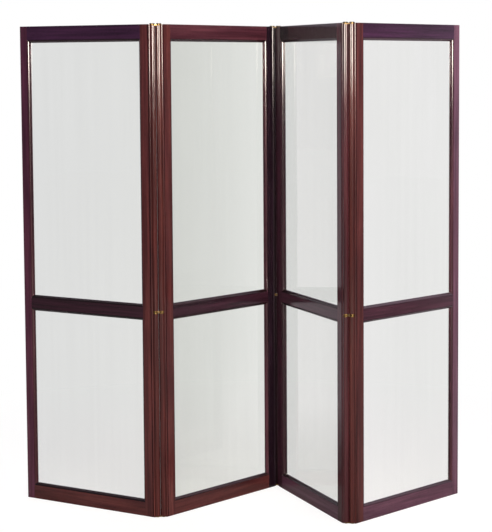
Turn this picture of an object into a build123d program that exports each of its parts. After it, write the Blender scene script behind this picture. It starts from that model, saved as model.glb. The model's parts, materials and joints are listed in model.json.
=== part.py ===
from build123d import *
import math
import os

# Leaf frame, in millimetres
leaf_height = 1830.0
leaf_thickness = 24.0
opening_width = 534.0
stile_flat_width = 34.0
end_rail_height = 52.5
middle_rail_height = 40.5
middle_rail_bottom = 748.5
edge_rounding = 1.2

# Tenons of the rails, blind in the stiles
tenon_thickness = 8.0
tenon_length = 22.0
tenon_shoulder = 9.0
tenon_end_gap = 1.0

# Reeded half-round nosing of a meeting stile, measured from its pivot axis
nosing_radius = 12.0
reed_radius = 5.8
reed_spacing = 50.0
reed_count = 3
arris_bead_radius = 4.0
quirk_width = 3.5
flat_quirk_width = 1.0

# Glazing: front moulding, pane, back bead
moulding_width = 10.0
moulding_depth = 12.5
moulding_quirk_width = 1.8
moulding_quirk_depth = 2.0
moulding_fillet_width = 1.5
moulding_fillet_drop = 8.0
moulding_bulge = 0.36
back_bead_size = 6.5
glass_thickness = 3.0
glass_edge_gap = 1.5

# Hinges: links between the pivots, yokes, pins and screws
nosing_gap = 0.3
link_thickness = 4.4
link_gap = 0.3
link_eye_radius = 7.2
link_waist_width = 6.0
link_waist_fillet = 3.0
link_swing_gap = 0.5
pin_radius = 3.0
pin_running_gap = 0.1
pin_seat_gap = 0.02
middle_hinge_rise = 3.0
yoke_cheek_thickness = 3.0
yoke_width = 13.6
yoke_web_thickness = 3.4
yoke_tang_length = 8.0
yoke_tang_width = 9.0
screw_length = 40.0
cap_radius = 10.0
cap_height = 3.2
cap_edge_bevel = 1.2
cap_slot_width = 1.6
cap_slot_depth = 1.2
countersink_radius = 5.6
countersink_gap = 0.15

# Standing pose: heading of the first leaf and the turn at each fold, in degrees
first_leaf_heading = -32.2
fold_turns = (80.8, -116.4, 113.9)

# Values that follow from the sizes above
half_thickness = leaf_thickness / 2
nosing_to_flat = quirk_width + 2 * arris_bead_radius + flat_quirk_width
pivot_to_opening = nosing_to_flat + stile_flat_width
pivot_pitch = 2 * nosing_radius + nosing_gap
link_slot_height = link_thickness + 2 * link_gap
link_width_clear = link_waist_width / 2 + link_swing_gap
link_eye_clear = link_eye_radius + link_swing_gap
yoke_height = link_slot_height + 2 * yoke_cheek_thickness
yoke_web_end = link_eye_clear + yoke_web_thickness
middle_rail_top = middle_rail_bottom + middle_rail_height
middle_hinge_height = (middle_rail_bottom + middle_rail_top) / 2 + middle_hinge_rise
glass_back = moulding_depth + glass_thickness
link_bottom_height = link_gap
link_top_height = leaf_height - link_gap - link_thickness
link_middle_height = middle_hinge_height - link_thickness / 2
upper_opening = (middle_rail_top, leaf_height - end_rail_height)
lower_opening = (end_rail_height, middle_rail_bottom)


def box(x_low, x_high, y_low, y_high, z_low, z_high):
    """A box between the given limits."""
    size = (x_high - x_low, y_high - y_low, z_high - z_low)
    centre = ((x_high + x_low) / 2, (y_high + y_low) / 2, (z_high + z_low) / 2)
    return Pos(*centre) * Box(*size)


def rod(radius, z_low, z_high):
    """A round bar on the pivot axis."""
    return Pos(0, 0, (z_low + z_high) / 2) * Cylinder(radius, z_high - z_low)


def nosing_face():
    """Plan of the reeded half-round: reeds round a core, nose towards +X, pivot at the origin."""
    reed_centre = nosing_radius - reed_radius
    half_angle = math.radians(reed_spacing / 2)
    drop = reed_centre * math.sin(half_angle)
    valley = reed_centre * math.cos(half_angle) + math.sqrt(reed_radius**2 - drop**2)
    core = Circle(valley) & (Pos(valley / 2, 0) * Rectangle(valley, 2 * valley))
    face = core
    for index in range(reed_count):
        angle = math.radians(reed_spacing * (index - (reed_count - 1) / 2))
        face += Pos(reed_centre * math.cos(angle), reed_centre * math.sin(angle)) * Circle(reed_radius)
    return face


def meeting_stile_face():
    """Plan of a meeting stile: flat, quirk, arris beads and nosing, nose towards +X."""
    flat = Pos(-nosing_to_flat - stile_flat_width / 2, 0) * Rectangle(stile_flat_width, leaf_thickness)
    neck_width = leaf_thickness - 2 * arris_bead_radius
    neck = Pos(-nosing_to_flat / 2, 0) * Rectangle(nosing_to_flat, neck_width)
    face = flat + neck + nosing_face()
    for side in (-1, 1):
        centre = (-quirk_width - arris_bead_radius, side * (half_thickness - arris_bead_radius))
        face += Pos(*centre) * Circle(arris_bead_radius)
    return face


def mortises():
    """The three mortises of a stile, cut from an opening edge at the origin towards +X."""
    cuts = []
    rails = (
        (0.0, end_rail_height),
        (middle_rail_bottom, middle_rail_top),
        (leaf_height - end_rail_height, leaf_height),
    )
    for low, high in rails:
        depth = tenon_length + tenon_end_gap
        half = tenon_thickness / 2
        cuts.append(box(0, depth, -half, half, low + tenon_shoulder, high - tenon_shoulder))
    return cuts


def yoke_back_face():
    """Plan of a yoke behind the nosing: web block and narrower tang."""
    block_length = yoke_web_end - link_width_clear
    block = Pos(-link_width_clear - block_length / 2, 0) * Rectangle(block_length, yoke_width)
    tang = Pos(-yoke_web_end - yoke_tang_length / 2, 0) * Rectangle(yoke_tang_length, yoke_tang_width)
    return block + tang


def meeting_stile():
    """Meeting stile with its hinge seats, pivot at the origin and nose towards +X."""
    stile = extrude(meeting_stile_face(), leaf_height)
    for cut in mortises():
        stile -= Pos(-pivot_to_opening, 0, 0) * cut
    # Seats of the end links: open across the nosing, round behind the pivot
    for low, high in ((0.0, link_slot_height), (leaf_height - link_slot_height, leaf_height)):
        stile -= box(-link_width_clear, nosing_radius, -half_thickness, half_thickness, low, high)
        stile -= rod(link_eye_clear, low, high)
    # Seat of the middle yoke
    low = middle_hinge_height - yoke_height / 2
    high = middle_hinge_height + yoke_height / 2
    stile -= box(-link_width_clear, nosing_radius, -half_thickness, half_thickness, low, high)
    stile -= Pos(0, 0, low) * extrude(yoke_back_face(), yoke_height)
    # Pilot holes of the pivot screws
    hole = pin_radius + pin_seat_gap
    stile -= rod(hole, link_slot_height, link_slot_height + screw_length)
    stile -= rod(hole, leaf_height - link_slot_height - screw_length, leaf_height - link_slot_height)
    return stile


def outer_stile():
    """Plain outer stile of an end leaf, opening edge at the origin, outer edge towards +X."""
    face = Pos(stile_flat_width / 2, 0) * Rectangle(stile_flat_width, leaf_thickness)
    outer_corners = face.vertices().group_by(Axis.X)[-1]
    stile = extrude(fillet(outer_corners, edge_rounding), leaf_height)
    for cut in mortises():
        stile -= cut
    return stile


def rail(low, high):
    """Rail with a tenon at each end, opening from x = 0 to the opening width."""
    body = box(0, opening_width, -half_thickness, half_thickness, low, high)
    tenon_end = opening_width + tenon_length
    half = tenon_thickness / 2
    tenons = box(-tenon_length, tenon_end, -half, half, low + tenon_shoulder, high - tenon_shoulder)
    return body + tenons


def pane(low, high):
    """Glass pane standing on the lower rail of its opening."""
    y_front = moulding_depth - half_thickness
    x_low = glass_edge_gap
    x_high = opening_width - glass_edge_gap
    return box(x_low, x_high, y_front, y_front + glass_thickness, low, high - glass_edge_gap)


def moulding_face():
    """Section of the front moulding: x into the opening, y from the front face to the glass."""
    shoulder = (moulding_quirk_width, 0.0)
    toe = (moulding_width - moulding_fillet_width, moulding_fillet_drop)
    rise = (toe[0] - shoulder[0], toe[1] - shoulder[1])
    middle = (shoulder[0] + rise[0] * (1 - moulding_bulge), shoulder[1] + rise[1] * moulding_bulge)
    outline = [
        Line((0, moulding_quirk_depth), (moulding_quirk_width, moulding_quirk_depth)),
        Line((moulding_quirk_width, moulding_quirk_depth), shoulder),
        ThreePointArc(shoulder, middle, toe),
        Line(toe, (moulding_width, moulding_fillet_drop)),
        Line((moulding_width, moulding_fillet_drop), (moulding_width, moulding_depth)),
        Line((moulding_width, moulding_depth), (0, moulding_depth)),
        Line((0, moulding_depth), (0, moulding_quirk_depth)),
    ]
    return make_face(outline)


def back_bead_face():
    """Quarter-round section of the back bead: x into the opening, y from the glass backwards."""
    corner = Pos(back_bead_size / 2, back_bead_size / 2) * Rectangle(back_bead_size, back_bead_size)
    return Circle(back_bead_size) & corner


def mitred_frame(section, y_start, low, high):
    """Four mitred lengths of one section round an opening, as separate solids."""
    height = high - low
    centre = Pos(opening_width / 2, 0, (low + high) / 2)
    pieces = []
    for turn in range(4):
        across, up = (opening_width, height) if turn % 2 == 0 else (height, opening_width)
        # Length lies along X at the bottom of the opening, section upright
        bar = extrude(Plane.YZ * Rot(0, 0, 90) * mirror(section, Plane.XZ), across)
        bar = Pos(-across / 2, y_start, -up / 2) * bar
        inner = across / 2 - moulding_width
        corners = [(-across / 2, 0), (across / 2, 0), (inner, moulding_width), (-inner, moulding_width)]
        wedge = extrude(Plane.XZ * make_face(Polyline(*corners, close=True)), -leaf_thickness)
        wedge = Pos(0, -half_thickness, -up / 2) * wedge
        pieces.append(centre * Rot(0, 90 * turn, 0) * (bar & wedge))
    return pieces


def hinge_link():
    """Link plate with an eye at each pivot and a waist between, first pivot at the origin."""
    middle = pivot_pitch / 2
    face = Circle(link_eye_radius) + Pos(pivot_pitch, 0) * Circle(link_eye_radius)
    face += Pos(middle, 0) * Rectangle(pivot_pitch, link_waist_width)
    waist_corners = face.vertices().filter_by_position(Axis.X, 0, pivot_pitch, inclusive=(False, False))
    face = fillet(waist_corners, link_waist_fillet)
    for x in (0, pivot_pitch):
        face -= Pos(x, 0) * Circle(pin_radius + pin_running_gap)
    return extrude(face, link_thickness)


def yoke():
    """Brass yoke let into the nosing, its cheeks shaped like the reeded nosing."""
    limit = Pos(nosing_radius / 2 - link_width_clear / 2, 0)
    limit *= Rectangle(nosing_radius + link_width_clear, leaf_thickness)
    neck = Pos(-link_width_clear / 2, 0) * Rectangle(link_width_clear, yoke_width)
    cheek = ((nosing_face() + neck) & limit) + yoke_back_face()
    low = middle_hinge_height - yoke_height / 2
    body = Pos(0, 0, low) * extrude(cheek, yoke_height)
    half_slot = link_slot_height / 2
    slot = (middle_hinge_height - half_slot, middle_hinge_height + half_slot)
    body -= box(-link_eye_clear, nosing_radius, -half_thickness, half_thickness, *slot)
    body -= rod(pin_radius + pin_seat_gap, low, low + yoke_height)
    return body


def yoke_pin():
    """Pin through both cheeks of a yoke, ends flush."""
    return rod(pin_radius, middle_hinge_height - yoke_height / 2, middle_hinge_height + yoke_height / 2)


def top_pivot_screw():
    """Pivot screw with a broad slotted head standing on the top of the nosing."""
    shank = rod(pin_radius, leaf_height - link_slot_height - screw_length, leaf_height)
    head = rod(cap_radius, leaf_height, leaf_height + cap_height)
    head = chamfer(head.edges().group_by(Axis.Z)[-1], cap_edge_bevel)
    top = leaf_height + cap_height
    slot = box(-cap_radius, cap_radius, -cap_slot_width / 2, cap_slot_width / 2, top - cap_slot_depth, top)
    return shank + head - slot


def countersink(radius, low):
    """Cone that narrows upwards from the given radius to the pin."""
    height = radius - pin_radius
    return Pos(0, 0, low + height / 2) * Cone(radius, pin_radius, height)


def bottom_pivot_screw():
    """Countersunk pivot screw, its head sunk in the bottom link."""
    low = link_bottom_height + countersink_gap
    return countersink(countersink_radius, low) + rod(pin_radius, low, link_slot_height + screw_length)


def write(name, solids):
    """Write one node with its separate solids."""
    node = Compound(label=name, children=list(solids))
    export_step(node, os.path.join("parts", name + ".step"))


def unit(angle):
    """Unit vector in plan at an angle in degrees."""
    return Vector(math.cos(math.radians(angle)), math.sin(math.radians(angle)), 0)


def headings():
    """Heading of each leaf in plan."""
    result = [first_leaf_heading]
    for turn in fold_turns:
        result.append(result[-1] + turn)
    return result


def leaf_count():
    return len(fold_turns) + 1


def leaf_reach(index):
    """Distance from the leaf's left reference to its opening, and from there on the right."""
    left = stile_flat_width if index == 0 else pivot_to_opening
    right = stile_flat_width if index == leaf_count() - 1 else pivot_to_opening
    return left, right


def layout():
    """Left and right reference points of each leaf: outer edges and pivots, first leaf from the origin."""
    points = []
    start = Vector(0, 0, 0)
    angles = headings()
    for index, angle in enumerate(angles):
        left, right = leaf_reach(index)
        end = start + unit(angle) * (left + opening_width + right)
        points.append((start, end))
        if index < len(fold_turns):
            start = end + unit((angle + angles[index + 1]) / 2) * pivot_pitch
    return points


def leaf_nodes(index):
    """All nodes of one leaf in its own frame: x along the leaf from its left reference, front at -Y."""
    number = index + 1
    left, right = leaf_reach(index)
    length = left + opening_width + right
    first = index == 0
    last = index == leaf_count() - 1
    name = f"leaf_{number}_"
    nodes = {}
    # Each pivot with the turn that sends a nosing outwards there
    pivots = []
    if first:
        nodes[name + "left_stile"] = [Pos(left, 0, 0) * Rot(0, 0, 180) * outer_stile()]
    else:
        pivots.append(Rot(0, 0, 180))
        nodes[name + "left_stile"] = [pivots[-1] * meeting_stile()]
    if last:
        nodes[name + "right_stile"] = [Pos(left + opening_width, 0, 0) * outer_stile()]
    else:
        pivots.append(Pos(length, 0, 0))
        nodes[name + "right_stile"] = [pivots[-1] * meeting_stile()]

    inside = Pos(left, 0, 0)
    nodes[name + "top_rail"] = [inside * rail(leaf_height - end_rail_height, leaf_height)]
    nodes[name + "middle_rail"] = [inside * rail(middle_rail_bottom, middle_rail_top)]
    nodes[name + "bottom_rail"] = [inside * rail(0.0, end_rail_height)]
    nodes[name + "upper_glass"] = [inside * pane(*upper_opening)]
    nodes[name + "lower_glass"] = [inside * pane(*lower_opening)]
    front = []
    back = []
    for opening in (upper_opening, lower_opening):
        front += mitred_frame(moulding_face(), -half_thickness, *opening)
        back += mitred_frame(back_bead_face(), glass_back - half_thickness, *opening)
    nodes[name + "front_mouldings"] = [inside * piece for piece in front]
    nodes[name + "back_beads"] = [inside * piece for piece in back]

    nodes[name + "hinge_yokes"] = [place * yoke() for place in pivots]
    nodes[name + "hinge_pins"] = [place * yoke_pin() for place in pivots]
    nodes[name + "top_pivot_screws"] = [place * top_pivot_screw() for place in pivots]
    nodes[name + "bottom_pivot_screws"] = [place * bottom_pivot_screw() for place in pivots]
    return nodes


def fold_links():
    """The three links of one fold, first pivot at the origin and second towards +X."""
    plain = hinge_link()
    bottom = Pos(0, 0, link_bottom_height) * plain
    for x in (0, pivot_pitch):
        bottom -= Pos(x, 0, 0) * countersink(countersink_radius + 2 * countersink_gap, link_bottom_height)
    middle = Pos(0, 0, link_middle_height) * plain
    top = Pos(0, 0, link_top_height) * plain
    return [bottom, middle, top]


def assembly():
    """Every node in the standing pose, first leaf from the origin along the row."""
    nodes = {}
    places = layout()
    angles = headings()
    for index in range(leaf_count()):
        place = Pos(*places[index][0]) * Rot(0, 0, angles[index])
        for name, solids in leaf_nodes(index).items():
            nodes[name] = [place * solid for solid in solids]
    for index in range(len(fold_turns)):
        heading = (angles[index] + angles[index + 1]) / 2
        place = Pos(*places[index][1]) * Rot(0, 0, heading)
        nodes[f"fold_{index + 1}_{index + 2}_links"] = [place * link for link in fold_links()]
    return nodes


def plan_centre(nodes):
    """Middle of the whole screen in plan."""
    limits = [solid.bounding_box() for solids in nodes.values() for solid in solids]
    x_middle = (min(limit.min.X for limit in limits) + max(limit.max.X for limit in limits)) / 2
    y_middle = (min(limit.min.Y for limit in limits) + max(limit.max.Y for limit in limits)) / 2
    return Vector(x_middle, y_middle, 0)


os.makedirs("parts", exist_ok=True)
screen = assembly()
middle_of_plan = plan_centre(screen)
for node_name, node_solids in screen.items():
    write(node_name, [Pos(*(-middle_of_plan)) * solid for solid in node_solids])
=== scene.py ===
import json
import math

import bpy
from mathutils import Matrix, Vector

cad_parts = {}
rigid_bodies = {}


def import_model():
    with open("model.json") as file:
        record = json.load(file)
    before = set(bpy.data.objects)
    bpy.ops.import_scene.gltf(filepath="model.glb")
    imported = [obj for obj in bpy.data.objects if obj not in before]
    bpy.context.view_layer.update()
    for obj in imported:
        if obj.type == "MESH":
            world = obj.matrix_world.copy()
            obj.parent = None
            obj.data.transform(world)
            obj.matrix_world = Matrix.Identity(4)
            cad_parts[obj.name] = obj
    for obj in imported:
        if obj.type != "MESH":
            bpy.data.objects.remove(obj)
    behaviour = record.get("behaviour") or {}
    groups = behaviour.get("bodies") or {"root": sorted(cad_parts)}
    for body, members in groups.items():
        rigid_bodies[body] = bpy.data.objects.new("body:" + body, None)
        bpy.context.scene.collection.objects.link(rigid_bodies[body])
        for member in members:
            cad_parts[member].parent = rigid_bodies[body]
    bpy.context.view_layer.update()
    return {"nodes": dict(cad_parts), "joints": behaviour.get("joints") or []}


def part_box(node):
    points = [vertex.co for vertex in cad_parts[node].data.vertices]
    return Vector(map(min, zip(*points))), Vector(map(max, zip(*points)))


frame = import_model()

nodes = frame["nodes"]

# Which way each leaf runs on the floor, in degrees from +X
LEAF_HEADING = {"leaf_1": -32.2, "leaf_2": 48.6, "leaf_3": -67.8, "leaf_4": 46.1}


def linear(hex_colour):
    """A colour written as rrggbb, as the linear values that shaders take."""
    parts = [int(hex_colour[i : i + 2], 16) / 255 for i in (0, 2, 4)]
    return [c / 12.92 if c < 0.04045 else ((c + 0.055) / 1.055) ** 2.4 for c in parts] + [1.0]


class Shader:
    """A node tree with short calls for the nodes that these materials need."""

    def __init__(self, tree):
        self.tree = tree
        self.tree.nodes.clear()

    def add(self, kind, inputs=None, **settings):
        made = self.tree.nodes.new(kind)
        for name, value in settings.items():
            setattr(made, name, value)
        for name, value in (inputs or {}).items():
            self.put(made.inputs[name], value)
        return made

    def put(self, socket, value):
        if isinstance(value, bpy.types.NodeSocket):
            self.tree.links.new(value, socket)
        else:
            socket.default_value = value

    def math(self, operation, a, b=0.5, clamp=False):
        return self.add("ShaderNodeMath", {0: a, 1: b}, operation=operation, use_clamp=clamp).outputs[0]

    def noise(self, vector, scale, detail=2.0, roughness=0.5, distortion=0.0):
        settings = {"Vector": vector, "Scale": scale, "Detail": detail, "Roughness": roughness}
        return self.add("ShaderNodeTexNoise", {**settings, "Distortion": distortion}).outputs["Fac"]

    def remap(self, value, low, high, to_low=0.0, to_high=1.0):
        settings = {"Value": value, "From Min": low, "From Max": high, "To Min": to_low, "To Max": to_high}
        return self.add("ShaderNodeMapRange", settings, clamp=True).outputs["Result"]

    def mix(self, share, a, b, blend="MIX"):
        made = self.add("ShaderNodeMix", data_type="RGBA", blend_type=blend)
        self.put(made.inputs[0], share)
        self.put(made.inputs[6], a)
        self.put(made.inputs[7], b)
        return made.outputs[2]

    def placed(self, vector, scale, shift=(0, 0, 0)):
        return self.add("ShaderNodeMapping", {"Vector": vector, "Scale": scale, "Location": shift}).outputs[0]

    def seen_straight(self):
        """1 for what the eye sees directly or through glass, 0 for reflections and bounced light."""
        path = self.add("ShaderNodeLightPath").outputs
        bounced = self.math("ADD", path["Glossy Depth"], path["Diffuse Depth"])
        straight = self.math("LESS_THAN", bounced, 0.5)
        looking = self.math("MAXIMUM", path["Is Camera Ray"], path["Is Transmission Ray"])
        return self.math("MULTIPLY", looking, straight)

    def bump(self, height, distance, strength=1.0):
        settings = {"Height": height, "Distance": distance, "Strength": strength}
        return self.add("ShaderNodeBump", settings).outputs["Normal"]


def new_material(name):
    material = bpy.data.materials.new(name)
    material.use_nodes = True
    return material, Shader(material.node_tree)


# Share of a board's mean colour in its dark and its light figure, by channel
DARK_FIGURE = (0.50, 0.42, 0.52)
LIGHT_FIGURE = (1.42, 1.48, 1.38)
PORE_COLOUR = "1a0908"
WORN_REEDS = (0.78, 0.64, 0.58)
# Painted shade with old polish in the quirks: its colour, and how far round a point the darkening looks for
# other wood, in metres
GROOVE_SHADE_AND_OLD_POLISH = "0c0506"
GROOVE_SHADE_REACH = 0.004
# Distances from a pivot between which worn reeds turn into the plain board, in metres
WORN_EDGE = (0.0127, 0.0134)
# Layers of the grain: how often each repeats in a metre, across and along the board
FIGURE_GRAIN = (34, 1.6)
RIBBON_GRAIN = (95, 3.2)
STREAK_GRAIN = (420, 9)
PORE_GRAIN = (1500, 55)
CLOUD_SIZE = (3.1, 3.1, 2.2)
# Height of the grain and of the waves in the polish, in metres
GRAIN_RELIEF = 0.00006
POLISH_RELIEF = 0.00008
# Step in the noise from one board to the next
SEED_STEP = (1.37, 0.71, 2.13)


def mahogany(name, heading, along, colour, seed, pivot=None):
    """Polished mahogany of a mean colour, grain along Z or along the leaf, cut from its own board by seed.

    Round a pivot the reeds are browner, where hands have worn the stain. The quirks and the gaps between the
    reeds are darkened: painted shade, with some old polish.
    """
    material, s = new_material(name)
    at = s.add("ShaderNodeTexCoord").outputs["Object"]
    turn = {"Vector": at, "Angle": -math.radians(heading)}
    own = s.add("ShaderNodeVectorRotate", turn, rotation_type="Z_AXIS").outputs[0]
    shift = [seed * step for step in SEED_STEP]

    def stretched(grain):
        across, length = grain
        scale = (across, across, length) if along == "Z" else (length, across, across)
        return s.placed(own, scale, shift)

    figure = s.noise(stretched(FIGURE_GRAIN), 1.0, 4.0, 0.62, 0.6)
    ribbon = s.noise(stretched(RIBBON_GRAIN), 1.0, 2.0, 0.5)
    streak = s.noise(stretched(STREAK_GRAIN), 1.0, 2.0, 0.6)
    pores = s.noise(stretched(PORE_GRAIN), 1.0, 1.0, 0.5)
    cloud = s.noise(s.placed(own, CLOUD_SIZE, shift), 1.0, 2.0)
    mean = linear(colour)
    dark = [channel * share for channel, share in zip(mean, DARK_FIGURE)] + [1.0]
    light = [channel * share for channel, share in zip(mean, LIGHT_FIGURE)] + [1.0]
    board = s.mix(s.remap(figure, 0.3, 0.72), dark, light)
    stripe = s.remap(ribbon, 0.3, 0.7, 0.68, 1.28)
    fibre = s.remap(streak, 0.25, 0.75, 0.86, 1.12)
    patch = s.remap(cloud, 0.3, 0.7, 0.86, 1.14)
    tint = s.math("MULTIPLY", s.math("MULTIPLY", stripe, fibre), patch)
    shade = s.add("ShaderNodeCombineColor", {0: tint, 1: tint, 2: tint}).outputs[0]
    board = s.mix(1.0, board, shade, "MULTIPLY")
    pore = s.remap(pores, 0.62, 0.70)
    board = s.mix(s.math("MULTIPLY", pore, 0.7), board, linear(PORE_COLOUR))
    if pivot:
        level = s.placed(at, (1, 1, 0))
        reach = s.add("ShaderNodeVectorMath", {0: level, 1: pivot}, operation="DISTANCE").outputs["Value"]
        worn = s.mix(1.0, board, (*WORN_REEDS, 1), "MULTIPLY")
        board = s.mix(s.remap(reach, *WORN_EDGE), worn, board)
    # Painted shade, partly old polish and dust, darkens the quirks and the gaps between the reeds where the
    # wood is enclosed
    reach_of_air = {"Distance": GROOVE_SHADE_REACH}
    open_air = s.add("ShaderNodeAmbientOcclusion", reach_of_air, samples=6, only_local=True).outputs["AO"]
    board = s.mix(s.remap(open_air, 0.25, 0.85), linear(GROOVE_SHADE_AND_OLD_POLISH), board)
    rough = s.remap(s.math("ADD", streak, cloud), 0.7, 1.3, 0.30, 0.46)
    relief = s.math("SUBTRACT", s.math("MULTIPLY", streak, 0.35), pore)
    wood = s.bump(relief, GRAIN_RELIEF)
    polish = s.bump(s.math("ADD", s.math("MULTIPLY", streak, 0.25), cloud), POLISH_RELIEF)
    principled = s.add(
        "ShaderNodeBsdfPrincipled",
        {
            "Base Color": board,
            "Roughness": rough,
            "Normal": wood,
            "Specular IOR Level": 0.08,
            "Coat Weight": 1.0,
            "Coat Roughness": 0.11,
            "Coat IOR": 1.6,
            "Coat Normal": polish,
        },
    )
    output = s.add("ShaderNodeOutputMaterial")
    s.put(output.inputs["Surface"], principled.outputs[0])
    return material


def aged_brass(name, clean, tarnished):
    """Lacquer-worn brass: yellow metal with brown tarnish in patches and fine scratches."""
    material, s = new_material(name)
    at = s.add("ShaderNodeTexCoord").outputs["Object"]
    patches = s.noise(at, 140, 4.0, 0.6)
    grains = s.noise(at, 900, 2.0)
    tarnish = s.remap(patches, 0.42, 0.66)
    colour = s.mix(tarnish, linear(clean), linear(tarnished))
    rough = s.remap(s.math("ADD", patches, grains), 0.7, 1.3, 0.26, 0.5)
    principled = s.add(
        "ShaderNodeBsdfPrincipled",
        {
            "Base Color": colour,
            "Metallic": 1.0,
            "Roughness": rough,
            "Normal": s.bump(grains, 0.00003),
        },
    )
    output = s.add("ShaderNodeOutputMaterial")
    s.put(output.inputs["Surface"], principled.outputs[0])
    return material


# Tint of each leaf's panes at its left and at its right end, and of the light that falls through
PANE_TINTS = {
    "leaf_1": ("e6e7e6", "e6e7e5"),
    "leaf_2": ("d8dad5", "ebede9"),
    "leaf_3": ("f0f2ef", "ebedea"),
    "leaf_4": ("f3f3f2", "f0f1ef"),
}
SHADOW_TINT = "e4e8e4"
GLASS_WAVES = (5, 5, 2.2)
DRAW_LINES = (38, 38, 0.9)
WAVE_RELIEF = 0.0008


def old_glass(leaf):
    """Pale drawn glass, faintly wavy, with upright draw lines."""
    material, s = new_material(f"{leaf}_glass")
    at = s.add("ShaderNodeTexCoord").outputs["Object"]
    turn = {"Vector": at, "Angle": -math.radians(LEAF_HEADING[leaf])}
    own = s.add("ShaderNodeVectorRotate", turn, rotation_type="Z_AXIS").outputs[0]
    waves = s.noise(s.placed(own, GLASS_WAVES), 1.0, 2.0, 0.4)
    draw_lines = s.noise(s.placed(own, DRAW_LINES), 1.0, 2.0, 0.5)
    ends = [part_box(f"{leaf}_{stile}") for stile in ("left_stile", "right_stile")]
    heading = math.radians(LEAF_HEADING[leaf])
    direction = Vector((math.cos(heading), math.sin(heading), 0))
    start, end = (((low + high) / 2).dot(direction) for low, high in ends)
    along = s.add("ShaderNodeSeparateXYZ", {0: own}).outputs["X"]
    left, right = (linear(c) for c in PANE_TINTS[leaf])
    tint = s.mix(s.remap(along, start, end), left, right)
    shade = s.remap(s.math("ADD", waves, draw_lines), 0.7, 1.3, 0.985, 1.01)
    grey = s.add("ShaderNodeCombineColor", {0: shade, 1: shade, 2: shade}).outputs[0]
    tint = s.mix(1.0, tint, grey, "MULTIPLY")
    principled = s.add(
        "ShaderNodeBsdfPrincipled",
        {
            "Base Color": tint,
            "Roughness": 0.0,
            "IOR": 1.5,
            "Specular IOR Level": 0.25,
            "Transmission Weight": 1.0,
            "Normal": s.bump(waves, WAVE_RELIEF),
        },
    )
    clear = s.add("ShaderNodeBsdfTransparent", {"Color": linear(SHADOW_TINT)})
    lamp_rays = s.add("ShaderNodeLightPath").outputs["Is Shadow Ray"]
    both = s.add("ShaderNodeMixShader", {0: lamp_rays})
    s.put(both.inputs[1], principled.outputs[0])
    s.put(both.inputs[2], clear.outputs[0])
    output = s.add("ShaderNodeOutputMaterial")
    s.put(output.inputs["Surface"], both.outputs[0])
    return material


# Distances from a pivot between which the face of its nosing lies
NOSING_INSIDE, NOSING_OUTSIDE = 0.0085, 0.0124

# Stains of the boards, most of them shared: the leaves were made up from different planks. Some colours also
# carry painted shade, marked below, and the level strips round the panes are darker with dirt and painted
# shade.
RED_BROWN = "522828"
ROSE_BROWN = "502a34"
PLUM = "50283c"
FADED_PLUM = "603e52"
DARK_PLUM = "341a34"
WINE = "402230"
DARK_BROWN = "301824"
NEAR_BLACK = "20141e"

BOARD_COLOURS = {
    "leaf_1": {
        "left_stile": PLUM,
        "right_stile": RED_BROWN,
        "top_rail": DARK_PLUM,
        "middle_rail": DARK_BROWN,
        "bottom_rail": RED_BROWN,
        "strips": "3a1c24",
        "level_strips_dirt_and_shade": "1c0f10",
    },
    "leaf_2": {
        "left_stile": RED_BROWN,
        # Painted shade: this stile stands in the hollow fold against leaf 3, so its colour is made near black
        "right_stile": NEAR_BLACK,
        "top_rail": ROSE_BROWN,
        "middle_rail": DARK_BROWN,
        "bottom_rail": RED_BROWN,
        "strips": "40202a",
        "level_strips_dirt_and_shade": "281418",
    },
    "leaf_3": {
        # Painted shade: this stile stands in the hollow fold against leaf 2, so its colour is made darker
        "left_stile": WINE,
        "right_stile": ROSE_BROWN,
        "top_rail": NEAR_BLACK,
        "middle_rail": WINE,
        "bottom_rail": FADED_PLUM,
        "strips": "2c1820",
        "level_strips_dirt_and_shade": "1c1014",
    },
    "leaf_4": {
        "left_stile": RED_BROWN,
        "right_stile": FADED_PLUM,
        "top_rail": DARK_PLUM,
        "middle_rail": WINE,
        "bottom_rail": FADED_PLUM,
        "strips": "40222c",
        "level_strips_dirt_and_shade": "38202a",
    },
}


def pivot_near(leaf, piece):
    """The pivot of a leaf that its stile carries, or None for a plain outer stile."""
    for joint in frame["joints"]:
        pivot = Vector((*joint["pos_m"][:2], 0))
        nearest = min((v.co.xy - pivot.xy).length for v in piece.data.vertices)
        if leaf in (joint["parent"], joint["child"]) and nearest < NOSING_OUTSIDE:
            return pivot
    return None


# Members of a leaf's frame and the way their grain runs
MEMBERS = {
    "left_stile": "Z",
    "right_stile": "Z",
    "top_rail": "X",
    "middle_rail": "X",
    "bottom_rail": "X",
}
SEEDS_PER_LEAF = 11


def dress_leaf(leaf, first_seed):
    """Gives every board of a leaf its own wood; the strips round the panes get two, upright and level, the
    level one darker with dirt and painted shade.
    """
    heading = LEAF_HEADING[leaf]
    colours = BOARD_COLOURS[leaf]
    for number, (member, along) in enumerate(MEMBERS.items()):
        piece = nodes[f"{leaf}_{member}"]
        pivot = pivot_near(leaf, piece)
        wood = mahogany(piece.name, heading, along, colours[member], first_seed + number, pivot)
        piece.material_slots[0].material = wood
    for number, strip in enumerate(("front_mouldings", "back_beads")):
        piece = nodes[f"{leaf}_{strip}"]
        seed = first_seed + len(MEMBERS) + 2 * number
        upright = mahogany(f"{piece.name}_upright", heading, "Z", colours["strips"], seed)
        # The level strips take a darker colour: dirt, and painted shade under and over the panes
        level = mahogany(f"{piece.name}_level", heading, "X", colours["level_strips_dirt_and_shade"], seed + 1)
        piece.material_slots[0].material = upright
        piece.data.materials.append(level)
        sort_mitred_strips(piece, leaf)


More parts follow.
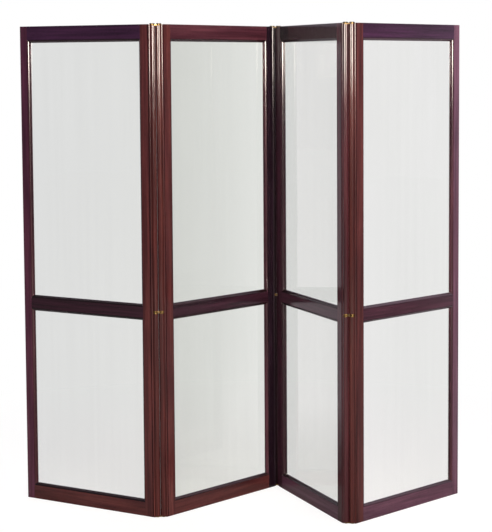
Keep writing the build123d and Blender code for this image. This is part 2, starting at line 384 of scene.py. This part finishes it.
def sort_mitred_strips(piece, leaf):
    """Gives the level strips of the mitred frames round both panes the second, darker material, which carries
    painted shade.
    """
    panes = [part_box(f"{leaf}_{pane}_glass") for pane in ("upper", "lower")]
    heading = math.radians(LEAF_HEADING[leaf])
    direction = Vector((math.cos(heading), math.sin(heading), 0))
    for face in piece.data.polygons:
        low, high = min(panes, key=lambda box: max(box[0].z - face.center.z, face.center.z - box[1].z))
        middle = (low + high) / 2
        half_width = abs((high - low).xy.length) / 2
        half_height = (high.z - low.z) / 2
        side = half_width - abs((face.center - middle).dot(direction))
        end = half_height - abs(face.center.z - middle.z)
        face.material_index = 1 if end < side else 0


for number, leaf in enumerate(LEAF_HEADING):
    dress_leaf(leaf, 1 + SEEDS_PER_LEAF * number)

# Meeting nosings rub against each other: each swells by about half of the gap between them, in metres,
# where it reaches at least this far towards its partner, and never on its top or bottom face
NOSING_SWELL = 0.000148
CONTACT_REACH = 0.004
UPRIGHT_FACE = 0.5


def close_nosings():
    """Swells the reeds that can touch the partner nosing, found from the two pivots of each fold."""
    pivots = {joint["name"]: Vector(joint["pos_m"]).xy for joint in frame["joints"]}
    for joint in frame["joints"]:
        leaf = next(body for body in (joint["parent"], joint["child"]) if body.startswith("leaf"))
        pivot = pivots[joint["name"]]
        fold = joint["name"][: len("fold_1_2")]
        others = [name for name in pivots if name.startswith(fold) and name != joint["name"]]
        partner = pivots[others[0]]
        towards = (partner - pivot).normalized()
        for side in ("left_stile", "right_stile"):
            piece = nodes[f"{leaf}_{side}"]
            facing = [
                v.index
                for v in piece.data.vertices
                if NOSING_INSIDE < (v.co.xy - pivot).length < NOSING_OUTSIDE
                and (v.co.xy - pivot).dot(towards) > CONTACT_REACH
                and abs(v.normal.z) < UPRIGHT_FACE
            ]
            if not facing:
                continue
            group = piece.vertex_groups.new(name="nosing")
            group.add(facing, 1.0, "REPLACE")
            swell = piece.modifiers.new("swell", "DISPLACE")
            swell.vertex_group = group.name
            swell.mid_level = 0.0
            swell.strength = NOSING_SWELL


close_nosings()

for leaf in LEAF_HEADING:
    glass = old_glass(leaf)
    for pane in ("upper", "lower"):
        nodes[f"{leaf}_{pane}_glass"].material_slots[0].material = glass
brass = aged_brass("hinge_brass", "a08452", "4a3822")
screw_metal = aged_brass("screw_metal", "6a5c44", "2c231a")
for name, piece in nodes.items():
    if name.endswith(("_links", "_yokes", "_pins")):
        piece.material_slots[0].material = brass
    elif name.endswith("_screws"):
        piece.material_slots[0].material = screw_metal


# Floor: its grey, what it gives by itself to the eye, and where it turns into plain white
FLOOR_GREY = (0.27, 0.27, 0.27)
FLOOR_GLOW = 0.84
FLOOR_FADE = (0.9, 2.6)
# The pale sweep behind the object as its polish reflects it, from this sine of the direction on
BACKDROP_EDGE = (0.10, 0.19)
SWEEP_RISE = (0.7, 1.8)
FLOOR_SWEEP = (0.50, 0.43, 0.48, 1.0)


def pale_floor():
    """White to the eye and through glass, mid grey in what it reflects, so the object keeps its shadow."""
    material, s = new_material("pale_floor")
    seen = s.seen_straight()
    at = s.add("ShaderNodeTexCoord").outputs["Object"]
    away = s.add("ShaderNodeVectorMath", {0: at}, operation="LENGTH").outputs["Value"]
    diffuse = s.add("ShaderNodeBsdfDiffuse", {"Color": (*FLOOR_GREY, 1)})
    flat = s.add("ShaderNodeVectorMath", {0: at}, operation="NORMALIZE").outputs["Vector"]
    towards = s.add("ShaderNodeSeparateXYZ", {0: flat}).outputs
    behind = s.math("MULTIPLY", s.remap(towards["Y"], *BACKDROP_EDGE), s.remap(away, *SWEEP_RISE))
    sweep = s.mix(behind, (0, 0, 0, 1), FLOOR_SWEEP)
    glow_colour = s.mix(seen, sweep, (FLOOR_GLOW, FLOOR_GLOW, FLOOR_GLOW, 1))
    glow = s.add("ShaderNodeEmission", {"Color": glow_colour, "Strength": 1.0})
    both = s.add("ShaderNodeAddShader")
    s.put(both.inputs[0], diffuse.outputs[0])
    s.put(both.inputs[1], glow.outputs[0])
    white = s.add("ShaderNodeEmission", {"Color": (1, 1, 1, 1), "Strength": 1.0})
    far = s.math("MULTIPLY", seen, s.remap(away, *FLOOR_FADE))
    whole = s.add("ShaderNodeMixShader", {0: far})
    s.put(whole.inputs[1], both.outputs[0])
    s.put(whole.inputs[2], white.outputs[0])
    output = s.add("ShaderNodeOutputMaterial")
    s.put(output.inputs["Surface"], whole.outputs[0])
    return material


def make_floor(size):
    """A flat square of floor under the object, not one of the model's parts."""
    mesh = bpy.data.meshes.new("floor")
    half = size / 2
    corners = [(-half, -half, 0), (half, -half, 0), (half, half, 0), (-half, half, 0)]
    mesh.from_pydata(corners, [], [(0, 1, 2, 3)])
    floor = bpy.data.objects.new("floor", mesh)
    floor.data.materials.append(pale_floor())
    bpy.context.scene.collection.objects.link(floor)


FLOOR_SIZE = 40.0
make_floor(FLOOR_SIZE)


# World: white behind the object, a dim cool studio in front of it
ROOM_RIGHT = (0.085, 0.07, 0.07, 1.0)
ROOM_LEFT = (0.085, 0.08, 0.11, 1.0)
BACKDROP_RIGHT = (0.80, 0.68, 0.84, 1.0)
BACKDROP_LEFT = (0.52, 0.43, 0.50, 1.0)


def make_world():
    """Plain white for the eye, and the studio's tones for everything that reflects."""
    world = bpy.data.worlds.new("studio")
    world.use_nodes = True
    bpy.context.scene.world = world
    s = Shader(world.node_tree)
    direction = s.add("ShaderNodeTexCoord").outputs["Generated"]
    towards = s.add("ShaderNodeSeparateXYZ", {0: direction}).outputs
    backdrop = s.remap(towards["Y"], *BACKDROP_EDGE)
    left = s.remap(towards["X"], -0.7, 0.7, 1.0, 0.0)
    room = s.mix(left, ROOM_RIGHT, ROOM_LEFT)
    behind = s.mix(left, BACKDROP_RIGHT, BACKDROP_LEFT)
    colour = s.mix(backdrop, room, behind)
    seen = s.seen_straight()
    studio = s.add("ShaderNodeBackground", {"Color": colour, "Strength": 1.0})
    white = s.add("ShaderNodeBackground", {"Color": (1, 1, 1, 1), "Strength": 1.0})
    both = s.add("ShaderNodeMixShader", {0: seen})
    s.put(both.inputs[1], studio.outputs[0])
    s.put(both.inputs[2], white.outputs[0])
    output = s.add("ShaderNodeOutputWorld")
    s.put(output.inputs["Surface"], both.outputs[0])


make_world()


def softbox(name, centre, target, width, height, radiance, colour):
    """A rectangular soft light of the given radiance, facing target."""
    light = bpy.data.lights.new(name, "AREA")
    light.shape = "RECTANGLE"
    light.size, light.size_y = width, height
    light.energy = radiance * math.pi * width * height
    light.color = colour
    lamp = bpy.data.objects.new(name, light)
    lamp.location = centre
    lamp.rotation_euler = (Vector(target) - Vector(centre)).to_track_quat("-Z", "Y").to_euler()
    lamp.visible_camera = False
    bpy.context.scene.collection.objects.link(lamp)


# Lamps: place, aim, width, height, radiance and colour of each
KEY = ((1.2, -7.3, 2.22), (0, 0, 2.22), 3.8, 1.3, 42.0, (1.0, 0.89, 0.79))
SIDE = ((2.2, -2.2, 2.6), (0, 0, 1.6), 1.2, 0.9, 8.5, (1.0, 0.90, 0.82))
OVERHEAD = ((0.5, -2.5, 5.0), (0, 0, 1.0), 4.0, 3.0, 0.8, (1.0, 0.98, 0.96))
softbox("key", *KEY)
softbox("side", *SIDE)
softbox("overhead", *OVERHEAD)


# Camera at the photograph's viewing angle
IMAGE_WIDTH, IMAGE_HEIGHT = 492, 532
CAMERA_PLACE = (0.1075, -6.4864, 1.6767)
CAMERA_YAW, CAMERA_PITCH, CAMERA_ROLL = (math.radians(a) for a in (1.027, -4.962, -0.230))
FOCAL_PIXELS = 1718.9
PRINCIPAL_POINT = (300, 215)
SENSOR_WIDTH = 36


def make_camera():
    """A camera with the place, tilt and shifted middle that the photograph's perspective was solved for."""
    data = bpy.data.cameras.new("camera")
    data.sensor_width = SENSOR_WIDTH
    data.lens = FOCAL_PIXELS * data.sensor_width / IMAGE_HEIGHT
    data.shift_x = (IMAGE_WIDTH / 2 - PRINCIPAL_POINT[0]) / IMAGE_HEIGHT
    data.shift_y = (PRINCIPAL_POINT[1] - IMAGE_HEIGHT / 2) / IMAGE_HEIGHT
    level = Vector((math.sin(CAMERA_YAW), math.cos(CAMERA_YAW), 0))
    forward = level * math.cos(CAMERA_PITCH) + Vector((0, 0, math.sin(CAMERA_PITCH)))
    side = Vector((math.cos(CAMERA_YAW), -math.sin(CAMERA_YAW), 0))
    up = side.cross(forward)
    right = side * math.cos(CAMERA_ROLL) + up * math.sin(CAMERA_ROLL)
    top = up * math.cos(CAMERA_ROLL) - side * math.sin(CAMERA_ROLL)
    camera = bpy.data.objects.new("camera", data)
    turn = Matrix((right, top, -forward)).transposed().to_4x4()
    camera.matrix_world = Matrix.Translation(CAMERA_PLACE) @ turn
    bpy.context.scene.collection.objects.link(camera)
    bpy.context.scene.camera = camera


make_camera()
bpy.context.scene.view_settings.view_transform = "Standard"
